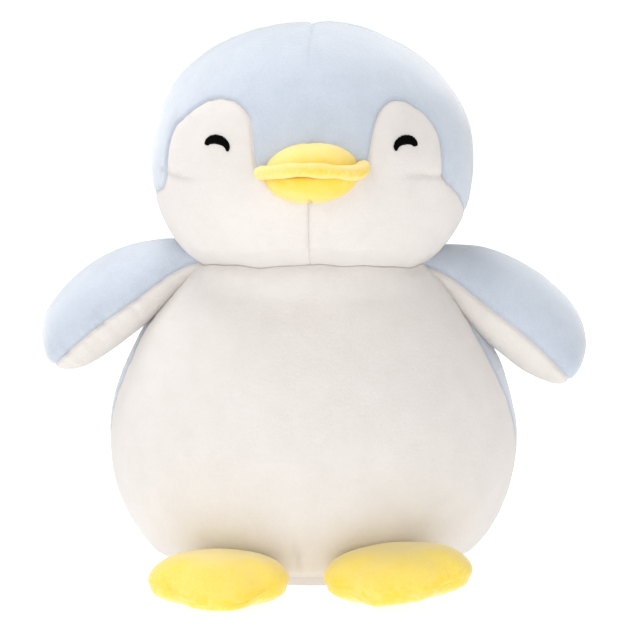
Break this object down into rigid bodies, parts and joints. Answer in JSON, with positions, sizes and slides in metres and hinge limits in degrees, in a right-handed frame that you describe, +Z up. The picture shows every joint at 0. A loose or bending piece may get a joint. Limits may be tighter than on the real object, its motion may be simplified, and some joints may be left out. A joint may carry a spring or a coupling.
{
  "type": "plush penguin",
  "caption": "Stuffed penguin toy of short-pile plush with a soft neck, two hanging flippers and two padded feet, standing on a flat base.",
  "frame": {"origin": "middle of the flat base", "axes": "+Z up, -Y the way the face looks, +X to the viewer's right when the face is seen"},
  "size_m": [0.2893, 0.2012, 0.2955],
  "materials": {
    "blue_plush": "short cut pile, pale grey-blue",
    "white_plush": "short cut pile, warm white",
    "yellow_plush": "short cut pile, butter yellow",
    "yellow_fleece": "finer cut pile, butter yellow",
    "black_thread": "satin-stitch embroidery",
    "fibre_fill": "loose polyester fibre",
    "label_ribbon": "blank satin ribbon"
  },
  "bodies": {
    "torso": {"belly_panel": "white_plush", "back_panel_left": "blue_plush", "back_panel_right": "blue_plush", "base_panel": "white_plush", "body_stuffing": "fibre_fill", "care_label": "label_ribbon"},
    "neck": {"neck_stuffing": "fibre_fill"},
    "head": {"cap_front": "blue_plush", "cap_back_left": "blue_plush", "cap_back_right": "blue_plush", "face_left": "white_plush", "face_right": "white_plush", "head_stuffing": "fibre_fill", "eye_left": "black_thread", "eye_right": "black_thread", "beak_upper": "yellow_fleece", "beak_lip": "yellow_fleece", "beak_lower": "yellow_fleece", "beak_stuffing": "fibre_fill"},
    "flipper_left": {"flipper_left_top": "blue_plush", "flipper_left_under": "white_plush", "flipper_left_stuffing": "fibre_fill"},
    "flipper_right": {"flipper_right_top": "blue_plush", "flipper_right_under": "white_plush", "flipper_right_stuffing": "fibre_fill"},
    "foot_left": {"foot_left_top": "yellow_plush", "foot_left_sole": "yellow_plush", "foot_left_stuffing": "fibre_fill"},
    "foot_right": {"foot_right_top": "yellow_plush", "foot_right_sole": "yellow_plush", "foot_right_stuffing": "fibre_fill"}
  },
  "joints": [
    {"name": "head_turn", "type": "hinge", "parent": "torso", "child": "neck", "pos_m": [0, 0, 0.166], "axis": [0, 0, 1], "range_deg": [-12, 12], "stiffness_Nm_per_rad": 0.3},
    {"name": "head_nod", "type": "hinge", "parent": "neck", "child": "head", "pos_m": [0, 0, 0.166], "axis": [1, 0, 0], "range_deg": [-5, 5], "stiffness_Nm_per_rad": 1.5},
    {"name": "flipper_left_lift", "type": "hinge", "parent": "torso", "child": "flipper_left", "pos_m": [-0.0633, 0, 0.166], "axis": [0, 1, 0], "range_deg": [-4, 30], "stiffness_Nm_per_rad": 0.15},
    {"name": "flipper_right_lift", "type": "hinge", "parent": "torso", "child": "flipper_right", "pos_m": [0.0633, 0, 0.166], "axis": [0, -1, 0], "range_deg": [-4, 30], "stiffness_Nm_per_rad": 0.15},
    {"name": "foot_left_flex", "type": "hinge", "parent": "torso", "child": "foot_left", "pos_m": [-0.046, -0.06, 0.004], "axis": [-1, 0, 0], "range_deg": [-12, 8], "stiffness_Nm_per_rad": 0.15},
    {"name": "foot_right_flex", "type": "hinge", "parent": "torso", "child": "foot_right", "pos_m": [0.046, -0.06, 0.004], "axis": [-1, 0, 0], "range_deg": [-12, 8], "stiffness_Nm_per_rad": 0.15}
  ]
}
